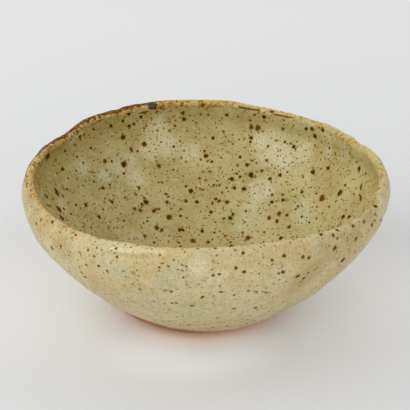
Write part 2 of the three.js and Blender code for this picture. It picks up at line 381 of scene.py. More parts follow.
def bare_clay(name, pale, deep, dark):
    """Unglazed stoneware: sandy, flashed orange by the kiln, with grog and iron grains."""
    material, tree, surface = new_material(name)
    place = node(tree, "TexCoord").outputs["Object"]
    colour = mix(tree, between(tree, noise_at(tree, place, 55), 0.35, 0.65), pale, deep)
    colour = mix(tree, between(tree, noise_at(tree, place, 420, 3), 0.5, 0.75, 0, 0.5), colour, dark)
    grains = node(tree, "TexVoronoi", {"Vector": place, "Scale": 480.0}).outputs["Distance"]
    colour = mix(tree, between(tree, grains, 0.24, 0.12, 0, 0.7), colour, GRAIN_TINT)
    # Stains left by the wiped glaze, darkened as painted shade at the bowl's lowest edge
    stained_and_shaded = node(tree, "Attribute", attribute_name="stained_and_shaded").outputs["Fac"]
    colour = mix(tree, maths(tree, "MULTIPLY", stained_and_shaded, 0.85), colour, STAIN_AND_SHADE_TINT)
    sand = noise_at(tree, place, 1900, 3, 0.7)
    plug(tree, surface, {"Base Color": colour, "Roughness": between(tree, sand, 0.3, 0.7, 0.75, 0.95),
                         "Normal": bump(tree, sand, 0.5, 0.0002)})
    return material


CRISP_FROM = math.radians(50)  # a sharper edge than this is a crisp rim


def finished(bm, name, material, stands_for):
    """Makes the mesh a smooth piece with crisp rims, which rides with the bowl and stands for a CAD node."""
    for face in bm.faces:
        face.smooth = True
    for edge in bm.edges:
        edge.smooth = edge.calc_face_angle(0) < CRISP_FROM
    mesh = bpy.data.meshes.new(name)
    bm.to_mesh(mesh)
    bm.free()
    mesh.materials.append(material)
    piece = bpy.data.objects.new(name, mesh)
    bpy.context.scene.collection.objects.link(piece)
    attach(piece, "root")
    if stands_for:
        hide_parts(stands_for)
    return piece


hip_bend = at(HIP_RADIUS - (HIP_HEIGHT - SEAT_HEIGHT) / math.tan(HIP_SLOPE), SEAT_HEIGHT)
recess_edge = at(RECESS_RADIUS, RECESS_HEIGHT)
seat_inside = at(SEAT_RADII[0], SEAT_HEIGHT)
seat_outside = at(SEAT_RADII[1], SEAT_HEIGHT)
underside = interpolate_bezier(*[at(0, RECESS_HEIGHT).lerp(recess_edge, step / 3) for step in range(4)], 12)
underside += [seat_inside, seat_outside] + curve(seat_outside, hip_bend, hip, 16)[1:-1]
# The clay hides under the glaze, so it keeps only some of the glazed line's points and has longer steps
CLAY_STEPS_IN_ARC = 12
kept = [*range(0, LIP_START, 3), *range(LIP_START, LIP_END, 2), *range(LIP_END, len(glazed) - 1, 3)]
kept.append(len(glazed) - 1)
clay_line = underside + [glazed[i] for i in kept]
clay_heights = [place.z for place in clay_line]
clay_reaches = [reaches[0]] * len(underside) + [reaches[i] for i in kept]
clay = pressed(turned(clay_line, clay_heights, clay_reaches, closed=False, steps_in_arc=CLAY_STEPS_IN_ARC))
stain_and_shade = clay.verts.layers.float.new("stained_and_shaded")
clay_reach = clay.verts.layers.float["reach"]
for vert in clay.verts:
    side = math.degrees(math.atan2(vert.co.y, vert.co.x)) % 360
    near_line = smoothstep(vert[clay_reach] - reaches[0], -STAIN_AND_SHADE_REACH, 0)
    stained_and_shaded = [depth * bell(degrees_away(side, facing), width) for facing, width, depth in STAINS_AND_SHADE]
    vert[stain_and_shade] = near_line * max(stained_and_shaded)
stoneware = bare_clay("stoneware", tint(196, 134, 82), tint(168, 101, 55), tint(112, 66, 38))
finished(clay, "pinched_bowl", stoneware, "clay_bowl")


# Luting slip. The same clay, watered to a paste and brushed on the scored joint of bowl and foot, which are
# pressed together until a bead of it shows on both sides.
SLIP_LINE = (at(0.0231, 0.0036), at(0.0309, 0.0036), at(0.0314, 0.0039), at(0.0316, SEAT_HEIGHT + 0.0003),
             at(0.0224, SEAT_HEIGHT + 0.0003), at(0.0226, 0.0039))
SLIP_LUMPS = (0.006, 0.004)  # how uneven it is, as a share of its radius, and how long its lumps are


def turned_uneven(outline, uneven, lump):
    """A hidden ring of clay, which is a little out of round."""
    bm = turned(outline, [0.0] * len(outline), [0.0] * len(outline), steps_in_arc=CLAY_STEPS_IN_ARC)
    for vert in bm.verts:
        vert.co.xy *= 1 + uneven * noise.noise(vert.co / lump)
    return bm


slip = turned_uneven(SLIP_LINE, *SLIP_LUMPS)
dried_slip = bare_clay("dried_slip", tint(208, 148, 106), tint(184, 116, 74), tint(140, 84, 52))
finished(slip, "slip_joint", dried_slip, "luting_slip")


# Foot ring. A coil of the same stoneware, luted on and turned true on the wheel, with softened edges. It
# stays bare, or the bowl would stick to the kiln shelf.
FOOT_TOP = 0.0036
FOOT_RADII_AT_TOP = (0.0234, 0.0306)
FOOT_TAPER = 0.0009
FOOT_EDGE = 0.0009
FOOT_LUMPS = (0.004, 0.012)

foot_inside = at(FOOT_RADII_AT_TOP[0] + FOOT_TAPER, 0)
foot_outside = at(FOOT_RADII_AT_TOP[1] - FOOT_TAPER, 0)
foot_line = curve(foot_outside - at(FOOT_EDGE, 0), foot_outside, foot_outside + at(0, FOOT_EDGE), 7)
foot_line += [at(FOOT_RADII_AT_TOP[1], FOOT_TOP), at(FOOT_RADII_AT_TOP[0], FOOT_TOP)]
foot_line += curve(foot_inside + at(0, FOOT_EDGE), foot_inside, foot_inside + at(FOOT_EDGE, 0), 7)
foot = turned_uneven(foot_line, *FOOT_LUMPS)
turned_foot = bare_clay("turned_foot", tint(202, 138, 94), tint(172, 102, 62), tint(118, 68, 42))
finished(foot, "turned_foot", turned_foot, "foot_ring")


# Outer glaze. A warm cream ash glaze, poured on and wiped back above the foot, where it ends in a soft roll.
# Iron in the clay bleeds through it in specks.
GLAZE_THICKNESS = 0.0006
GLAZE_AT_LIP = 0.00035
GLAZE_RUN = 0.009
GLAZE_ROLL = 0.0003
GLAZE_ROLL_HEIGHT = 0.003
GLAZE_SEAT = 0.0002
# Where the glaze line was wiped further up the wall: the side it faces, in degrees from +X, how wide and how
# far. It also strays a little in waves
WIPED_PLACES = ((234, 12, 0.0114), (262, 45, 0.0063), (30, 25, 0.0024), (120, 30, 0.0020))
LINE_WAVES = ((0.0012, 7), (0.0007, 23))
DRAWN_REACH = 0.036  # the coat above the line is drawn up with it, over this far
THIN_REACH = 0.007  # its wiped edge is thin, over this far
THINNED_BY = 0.6
THINNED_FROM = 0.003  # all of that where it was wiped up by this much or more

# Iron spots in the photograph: x, y and width in its pixels
IRON_SPOTS = (
    # inside, from the left wall to the middle
    (124, 164, 6), (144, 144, 5), (123, 137, 5), (131, 149, 3.5), (159, 166, 4), (105, 161, 4),
    (103, 188, 3.5), (146, 202, 5), (139, 188, 3.5), (169, 217, 5.5), (157, 228, 5), (191, 191, 5),
    (186, 201, 3.5), (197, 202, 4), (154, 211, 4), (159, 209, 3), (167, 202, 4), (166, 194, 3),
    (135, 209, 3.5), (86, 205, 4), (99, 217, 3.5), (112, 202, 3.5), (183, 113, 4), (184, 119, 4.5),
    (180, 230, 4), (63, 169, 3.5), (145, 236, 3.5), (162, 230, 3.5), (129, 114, 3.5), (141, 117, 3.5),
    (111, 126, 3.5), (129, 126, 3.5), (123, 121, 3), (203, 105, 4.5), (183, 230, 3),
    (88, 121.5, 2.8), (95, 119, 2.4), (99, 121, 2.4), (100, 117, 2.6), (116, 112, 2.6), (120, 111, 2.6),
    (77, 131, 2.6), (74, 133, 2.4), (84, 135, 2.6), (80, 137, 3.4), (93, 129, 2), (134, 124, 2.8),
    (144, 128, 2.2), (65, 151, 2.6), (75, 145, 2.4), (62, 169, 3), (91, 148, 2.4), (56, 160, 2.2),
    (39, 164, 2.2), (47, 197, 2.6), (63, 196, 2.6), (67, 189, 2.2), (76, 205, 2.4), (71, 214, 2.4),
    (64, 209, 2.4), (48, 205, 2.2),
    # inside, from the middle to the right wall
    (258, 128, 6), (251, 127, 4.5), (251, 138, 4), (264, 117, 4), (259, 110, 4), (272, 112, 4),
    (227, 115, 3.5), (213, 138, 3.5), (283, 129, 3.5), (312, 129, 4), (306, 129, 3.5), (315, 136, 4.5),
    (323, 130, 3.5), (294, 147, 4), (285, 142, 3), (240, 157, 3.5), (247, 165, 4), (251, 175, 5.5),
    (232, 179, 4.5), (240, 177, 3), (262, 171, 3.5), (270, 179, 4), (280, 175, 4), (313, 172, 5),
    (328, 168, 3.5), (359, 169, 4), (244, 189, 4.5), (322, 198, 6.5), (340, 193, 5.5), (302, 192, 3.5),
    (227, 202, 4), (219, 201, 3.5), (216, 199, 3), (272, 202, 3.5), (272, 195, 3), (283, 200, 3.5),
    (279, 214, 4.5), (269, 218, 4), (277, 221, 4), (287, 215, 3.5), (230, 218, 4.5), (233, 214, 3),
    (211, 212, 3.5), (349, 217, 4), (343, 217, 4), (289, 227, 4), (206, 156, 4.5), (193, 241, 5),
    (202, 231, 3.5), (248, 238, 5), (281, 238, 4), (208, 242, 4),
    # the lip and the outside
    (375, 206, 4), (353, 226, 3.5), (52.5, 222, 3.6), (36.4, 223.5, 2), (52, 248, 3.4), (72, 238, 1.9),
    (80, 252.5, 1.9), (86.4, 265, 2.2), (98.7, 266, 2.8), (107.4, 271, 2.3), (97, 248, 1.9),
    (101.7, 250, 1.8), (159.5, 267.5, 2.6), (183.4, 277.5, 2.3), (174, 260, 2.1), (166, 289.8, 2.1),
    (171.5, 291.4, 2.4), (201.7, 298, 2.1), (188.5, 325, 2.4), (60, 232, 1.9), (85, 277, 2.5),
    (172, 303, 2.5), (176, 303, 2.5), (203, 297, 3), (243, 253, 3.5), (236, 268, 3.5), (244, 272, 3.5),
    (284, 256, 4), (303, 257, 4), (309, 258, 3.5), (272, 260, 3), (283, 272, 4), (298, 276, 4.5),
    (304, 278, 3), (335, 248, 4), (356, 239, 3.5), (343, 260, 4), (337, 230, 3.5), (333, 235, 3.5),
    (321, 234, 3.5), (372, 225, 3), (221, 292, 3),
)
# Longer iron streaks, where the glaze ran: both ends and the width
IRON_STREAKS = (
    ((57.4, 207), (60.2, 211.3), 6), ((60.6, 216), (63.2, 219.8), 6.5), ((55.3, 188.5), (58, 195.5), 5),
    ((46.2, 156.2), (49, 156.8), 5.5), ((137.5, 113.6), (149, 111.4), 2), ((238, 107), (260, 110.5), 2.6),
    ((272, 114), (294, 118), 2), ((361, 184), (361, 190), 2.8), ((360, 195), (361, 201), 2.6),
    ((307, 236), (311, 235), 2.4), ((216, 292), (226, 292), 1.1), ((262, 293), (272, 292), 0.9),
)
# Milky patches where the glaze lies thick over a dent, with painted highlights on the fold under the front
# lip and on the front wall; places the fire browned to tan, with painted shade on the outer wall's left; and
# blue-green pools, the first also a painted highlight on the front wall:
# x, y and width in the same pixels
MILKY_AND_HIGHLIGHT_PATCHES = (
    (270, 147, 52), (262, 140, 30), (284, 158, 32), (303, 152, 30), (158, 132, 40), (150, 148, 34),
    (168, 146, 38), (190, 152, 34), (135, 178, 30), (216, 279, 18), (224, 275, 16), (217, 278, 26),
    (114, 248, 10), (120, 250, 10), (126, 251, 11), (132, 250.5, 10), (138, 250, 10), (144, 250, 10),
    (150, 250.5, 11), (156, 251, 10), (162, 252, 9), (262, 190, 36), (200, 268, 30),
)
# Tan from the fire on the right of the outer wall. The patches left of x 100 are painted shade on the outer
# wall's left
TANNED_AND_SHADED_PLACES = (
    (368, 212, 40), (352, 236, 46), (328, 250, 44), (30, 195, 30), (34, 215, 24), (36, 202, 22),
    (44, 226, 30), (62, 246, 40), (300, 282, 40), (315, 268, 36),
)
# The first pool, on the front wall, also serves as a painted highlight
BLUE_POOLS_AND_HIGHLIGHT = (
    (217, 278, 24), (328, 140, 20), (329, 150, 18), (345, 153, 20), (301, 209, 30), (303, 216, 24),
    (247, 220, 26), (252, 210, 20), (240, 228, 20), (118, 168, 30), (104, 176, 24), (130, 160, 22),
    (73, 137, 18), (80, 133, 14), (82, 168, 22), (62, 205, 18), (190, 312, 50), (150, 300, 40),
    (166, 283, 34), (118, 272, 30), (100, 258, 24), (175, 272, 26),
)


def thinned(height):
    share = smoothstep(height, LIP_HEIGHT - GLAZE_RUN, LIP_HEIGHT)
    return mixed_between(GLAZE_THICKNESS, GLAZE_AT_LIP, share)


def rolled(height):
    return thinned(height) + GLAZE_ROLL * (1 - smoothstep(height, HIP_HEIGHT, HIP_HEIGHT + GLAZE_ROLL_HEIGHT))


def coat(first, last, thickness_at):
    """A closed coat over part of the glazed line. Its face runs on exactly into the coats beside it."""
    face = offset(glazed, lambda z: GLAZE_SEAT + thickness_at(z))
    back = offset(glazed, lambda z: GLAZE_SEAT)
    shown = list(range(first, last + 1))
    hidden = [*range(last, first, -3), first]
    outline = [face[i] for i in shown] + [back[i] for i in hidden]
    heights = [glazed[i].z for i in shown + hidden]
    ways = [reaches[i] for i in shown + hidden]
    return turned(outline, heights, ways, closed=last < len(glazed) - 1)


def line_climb(out):
    """How far along the wall the glaze was wiped up from the hip, on the side that out faces."""
    side = math.degrees(math.atan2(out.y, out.x)) % 360
    climb = waves_round(out, LINE_WAVES)
    for facing, width, lift in WIPED_PLACES:
        climb += lift * bell(degrees_away(side, facing), width)
    return max(climb, 0)


def on_the_line(way):
    """The place on the glazed line at that reach, and the way out of the clay there."""
    i = min(max(bisect.bisect(reaches, way) - 1, 0), len(glazed) - 2)
    along = (glazed[i + 1] - glazed[i]).normalized()
    return glazed[i] + along * (way - reaches[i]), Vector((along.z, 0, -along.x))


def wiped(bm):
    """Draws the coat's lower part up the wall to the line it was wiped to, and thins its edge."""
    height = bm.verts.layers.float["height"]
    reach = bm.verts.layers.float["reach"]
    for vert in bm.verts:
        from_hip = vert[reach] - reaches[0]
        if from_hip >= DRAWN_REACH:
            continue
        out = Vector((vert.co.x, vert.co.y, 0)).normalized()
        climb = line_climb(out)
        place, outwards = on_the_line(vert[reach])
        depth = (at(vert.co.xy.length, vert.co.z) - place).dot(outwards)
        thinning = THINNED_BY * min(climb / THINNED_FROM, 1) * (1 - smoothstep(from_hip, 0, THIN_REACH))
        depth -= max(depth - GLAZE_SEAT, 0) * thinning
        vert[reach] += climb * (1 - smoothstep(from_hip, 0, DRAWN_REACH))
        place, outwards = on_the_line(vert[reach])
        vert[height] = place.z
        place += outwards * depth
        vert.co = out * place.x + Vector((0, 0, place.z))
    return bm


# The whole glazed face as one surface, which is never shown: the camera's pixels are looked up on it
guide_line = offset(glazed, lambda z: GLAZE_SEAT + thinned(z))
guide = pressed(turned(guide_line, [place.z for place in glazed], reaches, closed=False))
guide_surface = BVHTree.FromBMesh(guide)
MOST_SLANT = 0.2
SLANT_POWER = 0.35
SEEN_WITHIN = 0.001


def spot_under(x, y):
    """Where the camera sees that pixel of the glaze, and a pixel's length there, more on a slanting wall."""
    place, out, _, distance = guide_surface.ray_cast(camera.location, sight(x, y))
    if place is None:
        return None, 0
    slant = max(abs(out.dot(sight(x, y))), MOST_SLANT)
    return place, distance / LENS_IN_PIXELS / slant**SLANT_POWER


def seen_by_camera(place):
    hit, _, _, _ = guide_surface.ray_cast(camera.location, place - camera.location)
    return hit is not None and (hit - place).length < SEEN_WITHIN


# Each iron mark is two ends and a radius; a round spot's ends are the same place
LONGEST_STREAK = 0.02
iron_marks = []
for x, y, width in IRON_SPOTS:
    place, pixel = spot_under(x, y)
    if place:
        iron_marks.append((place, place, pixel * width / 2))
for start, end, width in IRON_STREAKS:
    start_place, pixel = spot_under(*start)
    end_place, _ = spot_under(*end)
    if start_place and end_place and (start_place - end_place).length < LONGEST_STREAK:
        iron_marks.append((start_place, end_place, pixel * width / 2))

# More spots, strewn all over. Those in sight of the camera are left out: the photograph's own are there
STREWN_OUTSIDE = 130
STREWN_INSIDE = 230
STREWN_ABOVE = 0.012
SMALLEST_SPOT = 0.0007
SPOT_RANGE = 0.0008
dice = random.Random(11)
guide_reach = guide.verts.layers.float["reach"]
guide.verts.index_update()
# A spin leaves its faces in another order each run, so they are sorted before the draw
guide_faces = sorted(guide.faces, key=lambda face: sorted(vert.index for vert in face.verts))
outside = [face for face in guide_faces
           if face.verts[0][guide_reach] < 0 and face.calc_center_median().z > STREWN_ABOVE]
inside = [face for face in guide_faces if face.verts[0][guide_reach] > 0]
for faces, count in ((outside, STREWN_OUTSIDE), (inside, STREWN_INSIDE)):
    for face in dice.choices(faces, weights=[face.calc_area() for face in faces], k=count):
        place = face.calc_center_median()
        radius = SMALLEST_SPOT + SPOT_RANGE * dice.random() ** 2
        if not seen_by_camera(place):
            iron_marks.append((place, place, radius))

# A mark's tone runs from black at 0 to rust at 1. A thin streak is rusty
RUSTIEST_SPOT = 0.75
WIDE_STREAK = 0.001
WIDE_STREAK_TONE = 0.55
THIN_STREAK_TONE = 0.84
mark_tones = []
for start, end, radius in iron_marks:
    streak_tone = WIDE_STREAK_TONE if radius > WIDE_STREAK else THIN_STREAK_TONE
    mark_tones.append(RUSTIEST_SPOT * dice.random() if start == end else streak_tone)

# The marks' middle lines as a cloud of points, to find the nearest one by
MARK_STEP = 0.0004
mark_finder = KDTree(sum(1 + int((end - start).length / MARK_STEP) for start, end, _ in iron_marks))
for number, (start, end, radius) in enumerate(iron_marks):
    pieces = int((end - start).length / MARK_STEP)
    for piece in range(pieces + 1):
        mark_finder.insert(start.lerp(end, piece / max(pieces, 1)), number)
mark_finder.balance()
STREAK_TAPER = 0.6
MARK_REACH = (4, 0.002)  # how far a mark is felt: so many of its radii, and this much more
OUT_OF_REACH = Vector((9, 9, 9))


def nearest_on(start, end, place):
    """The nearest place on a mark's middle line, and the mark's width there: a streak tapers to its ends."""
    along = end - start
    if along.length == 0:
        return start, 1
    share = min(max((place - start).dot(along) / along.length_squared, 0), 1)
    return start + along * share, 1 - STREAK_TAPER * (2 * share - 1) ** 2


def marked(bm):
    """Gives each face corner its way from the nearest iron mark, in the mark's radii, and the mark's tone."""
    way = bm.loops.layers.float_vector.new("iron_mark")
    tone = bm.loops.layers.float.new("mark_tone")
    for face in bm.faces:
        _, number, distance = mark_finder.find(face.calc_center_median())
        start, end, radius = iron_marks[number]
        for corner in face.loops:
            corner[tone] = mark_tones[number]
            corner[way] = OUT_OF_REACH
            if distance < MARK_REACH[0] * radius + MARK_REACH[1]:
                nearest, taper = nearest_on(start, end, corner.vert.co)
                corner[way] = (corner.vert.co - nearest) / (radius * taper)
    return bm


def brushed(bm, name, patches):
    """Paints soft round patches into a vertex value."""
    value = bm.verts.layers.float.new(name)
    for x, y, width in patches:
        middle, pixel = spot_under(x, y)
        if middle is None:
            continue
        reach = pixel * width / 2
        for vert in bm.verts:
            distance = (vert.co - middle).length
            if distance < reach:
                vert[value] = max(vert[value], 1 - smoothstep(distance, reach / 4, reach))
    return bm


# How far the lip's glaze breaks to amber, and how far out and in from the crest that reaches, in millimetres:
# every 30 degrees from +X to +Y
AMBER = (0.55, 0.45, 0.5, 0.75, 0.85, 0.7, 0.95, 0.55, 0.45, 0.35, 0.35, 0.5)
AMBER_OUT = (0.6, 0.6, 0.6, 0.6, 0.6, 1.2, 5.2, 3.0, 1.0, 0.6, 0.6, 0.8)
AMBER_IN = (3.0, 3.6, 3.4, 4.4, 5.2, 3.4, 2.2, 1.6, 1.4, 1.6, 1.8, 1.8)
AMBER_FROM = 0.0004  # it is all there from here on, and half the way in it begins to fade
# How far the lip's outer edge burnt to brown, and how far in that ends, in millimetres: every 15 degrees
BURNT = (0.1, 0.05, 0.05, 0.05, 0.05, 0.15, 0.25, 0.6, 1.3, 0.85, 1.05, 0.75,
         0.5, 0.35, 0.15, 0, 0, 0, 0, 0, 0, 0, 0, 0.1)
BURNT_IN = (0.3, 0.2, 0.2, 0.2, 0.2, 0.3, 0.3, 0.6, 1.6, 1.1, 1.1, 0.2,
            -0.9, -1.1, -0.8, 0, 0, 0, 0, 0, 0, 0, 0, 0)
BURNT_OUT = (-0.0040, -0.0022)  # where it begins outside, and where it is all there
BURNT_FADE = 0.0007
INWARD = (-0.0008, 0.0016)  # where the outer glaze's colours pass into the inner one's
# Painted shade: how far the olive darkens under the lip, every 30 degrees, and how far it darkens on the
# whole left side
PAINTED_SHADE_UNDER_LIP = (0.3, 0.0, 0.1, 0.65, 0.9, 1.1, 1.1, 0.7, 0.2, 0.0, 0.0, 0.3)
PAINTED_SHADE_FROM = (0.001, 0.005)
PAINTED_SHADE_TO = (0.0052, 0.026)
PAINTED_SHADE_LEFT = 0.5
LEFT_SIDE = (0.015, 0.055)
WIPED_LOW = (0.012, 0.036)  # heights between which the sponge's wiping of the lower wall ends
# The thin wiped edge is also darkened as painted shade at the bowl's lowest edge
THIN_EDGE_AND_SHADE = (0.0003, 0.0060)  # how far above the glaze line its wiped edge is thin


def round_the_lip(values, turn):
    place = turn % 1 * len(values)
    first = int(place)
    return mixed_between(values[first], values[(first + 1) % len(values)], place - first)


def broken(bm):
    """Paints where the glaze runs thin over the lip: amber on its inner side, burnt on its outer edge. Each
    vertex also keeps its place on the surface unrolled downwards, for what ran down or was wiped round."""
    height = bm.verts.layers.float["height"]
    reach = bm.verts.layers.float["reach"]
    names = ("amber", "burnt", "inward", "painted_shade", "wiped_low", "thin_edge_and_shade")
    amber, burnt, inward, painted_shade, wiped_low, thin_edge_and_shade = (bm.verts.layers.float.new(name) for name in names)
    unrolled = bm.verts.layers.float_vector.new("unrolled")
    for vert in bm.verts:
        turn = math.atan2(vert.co.y, vert.co.x) / math.tau
        way = vert[reach]
        out = Vector((vert.co.x, vert.co.y, 0)).normalized()
        outer = 0.001 * round_the_lip(AMBER_OUT, turn)
        inner = 0.001 * round_the_lip(AMBER_IN, turn)
        band = smoothstep(way, -1.5 * outer, AMBER_FROM) * (1 - smoothstep(way, 0.5 * inner, 1.25 * inner))
        burnt_in = 0.001 * round_the_lip(BURNT_IN, turn)
        edge = 1 - smoothstep(way, burnt_in - BURNT_FADE, burnt_in + BURNT_FADE)
        vert[amber] = band * round_the_lip(AMBER, turn)
        vert[burnt] = edge * smoothstep(way, *BURNT_OUT) * round_the_lip(BURNT, turn)
        vert[inward] = smoothstep(way, *INWARD)
        if way > 0:
            # Painted shade: a darker olive under the lip, and on the whole left side of the inside
            under_lip = smoothstep(way, *PAINTED_SHADE_FROM) * (1 - smoothstep(way, *PAINTED_SHADE_TO))
            vert[painted_shade] = under_lip * round_the_lip(PAINTED_SHADE_UNDER_LIP, turn)
            vert[painted_shade] += PAINTED_SHADE_LEFT * smoothstep(-vert.co.x, *LEFT_SIDE)
        else:
            vert[wiped_low] = 1 - smoothstep(vert[height], *WIPED_LOW)
            # The thin wiped edge, which also carries painted shade at the bowl's lowest edge
            vert[thin_edge_and_shade] = 1 - smoothstep(way - reaches[0] - line_climb(out), *THIN_EDGE_AND_SHADE)
        vert[unrolled] = out * BELLY_RADIUS + Vector((0, 0, way))
    return bm


def painted(bm):
    """Every coat carries the same marks, so they run on from one coat to the next."""
    for name, patches in (("milky_and_highlight", MILKY_AND_HIGHLIGHT_PATCHES), ("pooled_and_highlight", BLUE_POOLS_AND_HIGHLIGHT), ("tanned_and_shaded", TANNED_AND_SHADED_PLACES)):
        bm = brushed(bm, name, patches)
    return marked(broken(bm))


# The glaze's tints besides each coat's own: painted shade under the lip, the fire's tan with painted shade on
# the outer left, and Milky patches with painted highlights, then its runs, the sponge's wiping, its flecks
# and its thin edge with painted shade at the bowl's lowest edge, the amber and the burnt lip, and the iron's
# rust
PAINTED_SHADE_OLIVE = tint(150, 132, 66)
FIRE_TAN_AND_SHADE = tint(164, 146, 98)
MILK_AND_HIGHLIGHT = tint(212, 206, 166)
RUN_TAN = tint(176, 149, 92)
SPONGED_BROWN = tint(140, 114, 66)
FLECK_TAN = tint(156, 120, 50)
EDGE_BROWN_AND_SHADE = tint(134, 92, 52)
GOLD = tint(186, 152, 70)
HONEY = tint(176, 132, 56)
PALE_AMBER = tint(200, 180, 114)
AMBER_GRAIN = tint(90, 56, 16)
BURNT_DARK = tint(64, 38, 12)
BURNT_BROWN = tint(150, 98, 46)
RUST = tint(108, 72, 16)
RUST_HALO = tint(146, 106, 36)
# Fine iron specks, small, middling and large: their spacing, their radius and how many of the places have one
FINE_SPECKS = ((0.0017, 0.0005, 0.9), (0.0033, 0.00086, 0.8), (0.0072, 0.0012, 0.5))
SPECK_SHIFT = (0.0131, 0.0047, 0.0083)  # lays them so that none fall in a row
GLAZE_SOCKETS = (
    ("INPUT", "Color", ("Thick", "Thin", "Thick Inside", "Thin Inside", "Pool", "Iron")),
    ("INPUT", "Float", ("Flecks", "Runs", "Specks", "Veil")),
    ("OUTPUT", "Color", ("Color",)),
    ("OUTPUT", "Float", ("Roughness", "Gloss", "Height")),
)


def ash_glaze():
    """The glaze's colour, roughness, gloss and height, shared by all three coats."""
    tree = bpy.data.node_groups.new("speckled_ash_glaze", "ShaderNodeTree")
    for way, kind, names in GLAZE_SOCKETS:
        for name in names:
            tree.interface.new_socket(name=name, in_out=way, socket_type="NodeSocket" + kind)
    given = tree.nodes.new("NodeGroupInput").outputs
    place = node(tree, "TexCoord").outputs["Object"]

    def attribute(name, output="Fac"):
        return node(tree, "Attribute", attribute_name=name).outputs[output]

    def stretched(across, down):
        return vector_maths(tree, "MULTIPLY", attribute("unrolled", "Vector"), (across, across, down))

    def times(a, b):
        return maths(tree, "MULTIPLY", a, b)

    def plus(a, b):
        return maths(tree, "ADD", a, b)

    def laid(colour, share, above, most=1.0):
        return mix(tree, times(share, most), colour, above)

    def mottled(name, low, high, least):
        """A painted value, less where the mottle is low."""
        return times(attribute(name), between(tree, mottle, low, high, least, 1))

    def torn(name, raggedness, low, high):
        """A painted value with a ragged edge."""
        return between(tree, plus(attribute(name), times(ragged, raggedness)), low, high)

    # the body of the glaze: thick and thin clouds, painted shade under the lip and on the left inside, the
    # fire's tan with painted shade on the outer left, pools and Milky patches with painted highlights
    mottle = noise_at(tree, place, 190, 4, 0.62)
    ragged = maths(tree, "SUBTRACT", noise_at(tree, place, 300, 4, 0.7), 0.5)
    ragged = times(ragged, 1.8)
    inside = torn("inward", 0.4, 0.3, 0.7)
    clouds = between(tree, plus(noise_at(tree, place, 52, 3), times(mottle, 0.35)), 0.56, 0.8)
    colour = mix(tree, clouds, mix(tree, inside, given["Thick"], given["Thick Inside"]),
                 mix(tree, inside, given["Thin"], given["Thin Inside"]))
    # Painted shade under the lip and on the left inside, in a darker olive
    colour = laid(colour, mottled("painted_shade", 0.3, 0.65, 0.5), PAINTED_SHADE_OLIVE, 0.6)
    # Tan from the fire, and painted shade on the outer wall's left
    colour = laid(colour, mottled("tanned_and_shaded", 0.3, 0.65, 0.6), FIRE_TAN_AND_SHADE, 0.65)
    # Blue-green pools, the first also a painted highlight on the front wall
    pooled_and_highlight = mottled("pooled_and_highlight", 0.3, 0.6, 0.5)
    pooled_and_highlight = maths(tree, "MAXIMUM", pooled_and_highlight, between(tree, mottle, 0.53, 0.69, 0, 0.6))
    colour = laid(colour, pooled_and_highlight, given["Pool"], 0.8)
    # Milky patches, with painted highlights on the fold under the front lip and on the front wall
    colour = laid(colour, mottled("milky_and_highlight", 0.25, 0.55, 0.4), MILK_AND_HIGHLIGHT, 0.6)

    # what ran down, what a sponge wiped round, fine grain, tan flecks and the thin wiped edge, with painted
    # shade at the bowl's lowest edge
    runs = between(tree, noise_at(tree, stretched(1, 0.45), 300, 4, 0.7), 0.5, 0.7)
    colour = laid(colour, times(runs, given["Runs"]), RUN_TAN)
    wiped_round = between(tree, noise_at(tree, stretched(0.2, 2.2), 330, 2, 0.6), 0.58, 0.72)
    colour = laid(colour, times(wiped_round, attribute("wiped_low")), SPONGED_BROWN, 0.6)
    grain = noise_at(tree, place, 950, 4, 0.75)
    shade = between(tree, grain, 0.3, 0.7, 0.83, 1.1)
    colour = mix(tree, 1.0, colour, node(tree, "CombineColor", {0: shade, 1: shade, 2: shade}).outputs[0],
                 "MULTIPLY")
    flecks = between(tree, noise_at(tree, place, 820, 3, 0.65), 0.54, 0.68)
    colour = laid(colour, times(flecks, given["Flecks"]), FLECK_TAN)
    # The thin wiped edge in brown, with painted shade at the bowl's lowest edge
    colour = laid(colour, torn("thin_edge_and_shade", 0.4, 0.15, 1.0), EDGE_BROWN_AND_SHADE, 0.9)

    # amber over the lip, grained with brown, and the burnt edge
    patchy = times(maths(tree, "SUBTRACT", noise_at(tree, place, 150, 4, 0.7), 0.5), 3.2)
    amber = between(tree, plus(attribute("amber"), patchy), 0.4, 0.8)
    amber = times(amber, between(tree, attribute("amber"), 0, 0.15))
    amber_grain = noise_at(tree, place, 700, 3, 0.7)
    warm = mix(tree, between(tree, noise_at(tree, place, 60, 2), 0.42, 0.58), GOLD, HONEY)
    ambers = mix(tree, between(tree, amber_grain, 0.40, 0.50), PALE_AMBER, warm)
    ambers = mix(tree, between(tree, amber_grain, 0.53, 0.63), ambers, AMBER_GRAIN)
    colour = laid(colour, amber, ambers, 0.88)
    burnt = torn("burnt", 1.7, 0.42, 0.66)
    burnt_tints = mix(tree, between(tree, amber_grain, 0.44, 0.62), BURNT_DARK, BURNT_BROWN)
    colour = laid(colour, burnt, burnt_tints, 0.94)

    # iron: small, middling and large specks, each a dark core in a rusty halo, crowded here and sparse there
    sway = node(tree, "TexNoise", {"Vector": place, "Scale": 900.0, "Detail": 2.0}).outputs["Color"]
    sway = vector_maths(tree, "SUBTRACT", sway, (0.5, 0.5, 0.5))
    crowd = times(given["Specks"], between(tree, noise_at(tree, place, 70, 2), 0.35, 0.65, 0.6, 1.15))
    strewn_at = vector_maths(tree, "ADD", place, SPECK_SHIFT)
    veiled = maths(tree, "SUBTRACT", 1.0, given["Veil"])
    cores = None

    def iron(colour, core, halo, tone):
        core = times(core, between(tree, tone, 0.85, 0.95, 1, 0.65))
        rusty = mix(tree, between(tree, tone, 0.35, 0.85), given["Iron"], RUST)
        colour = laid(colour, times(halo, veiled), RUST_HALO, 0.5)
        return laid(colour, times(core, veiled), rusty)

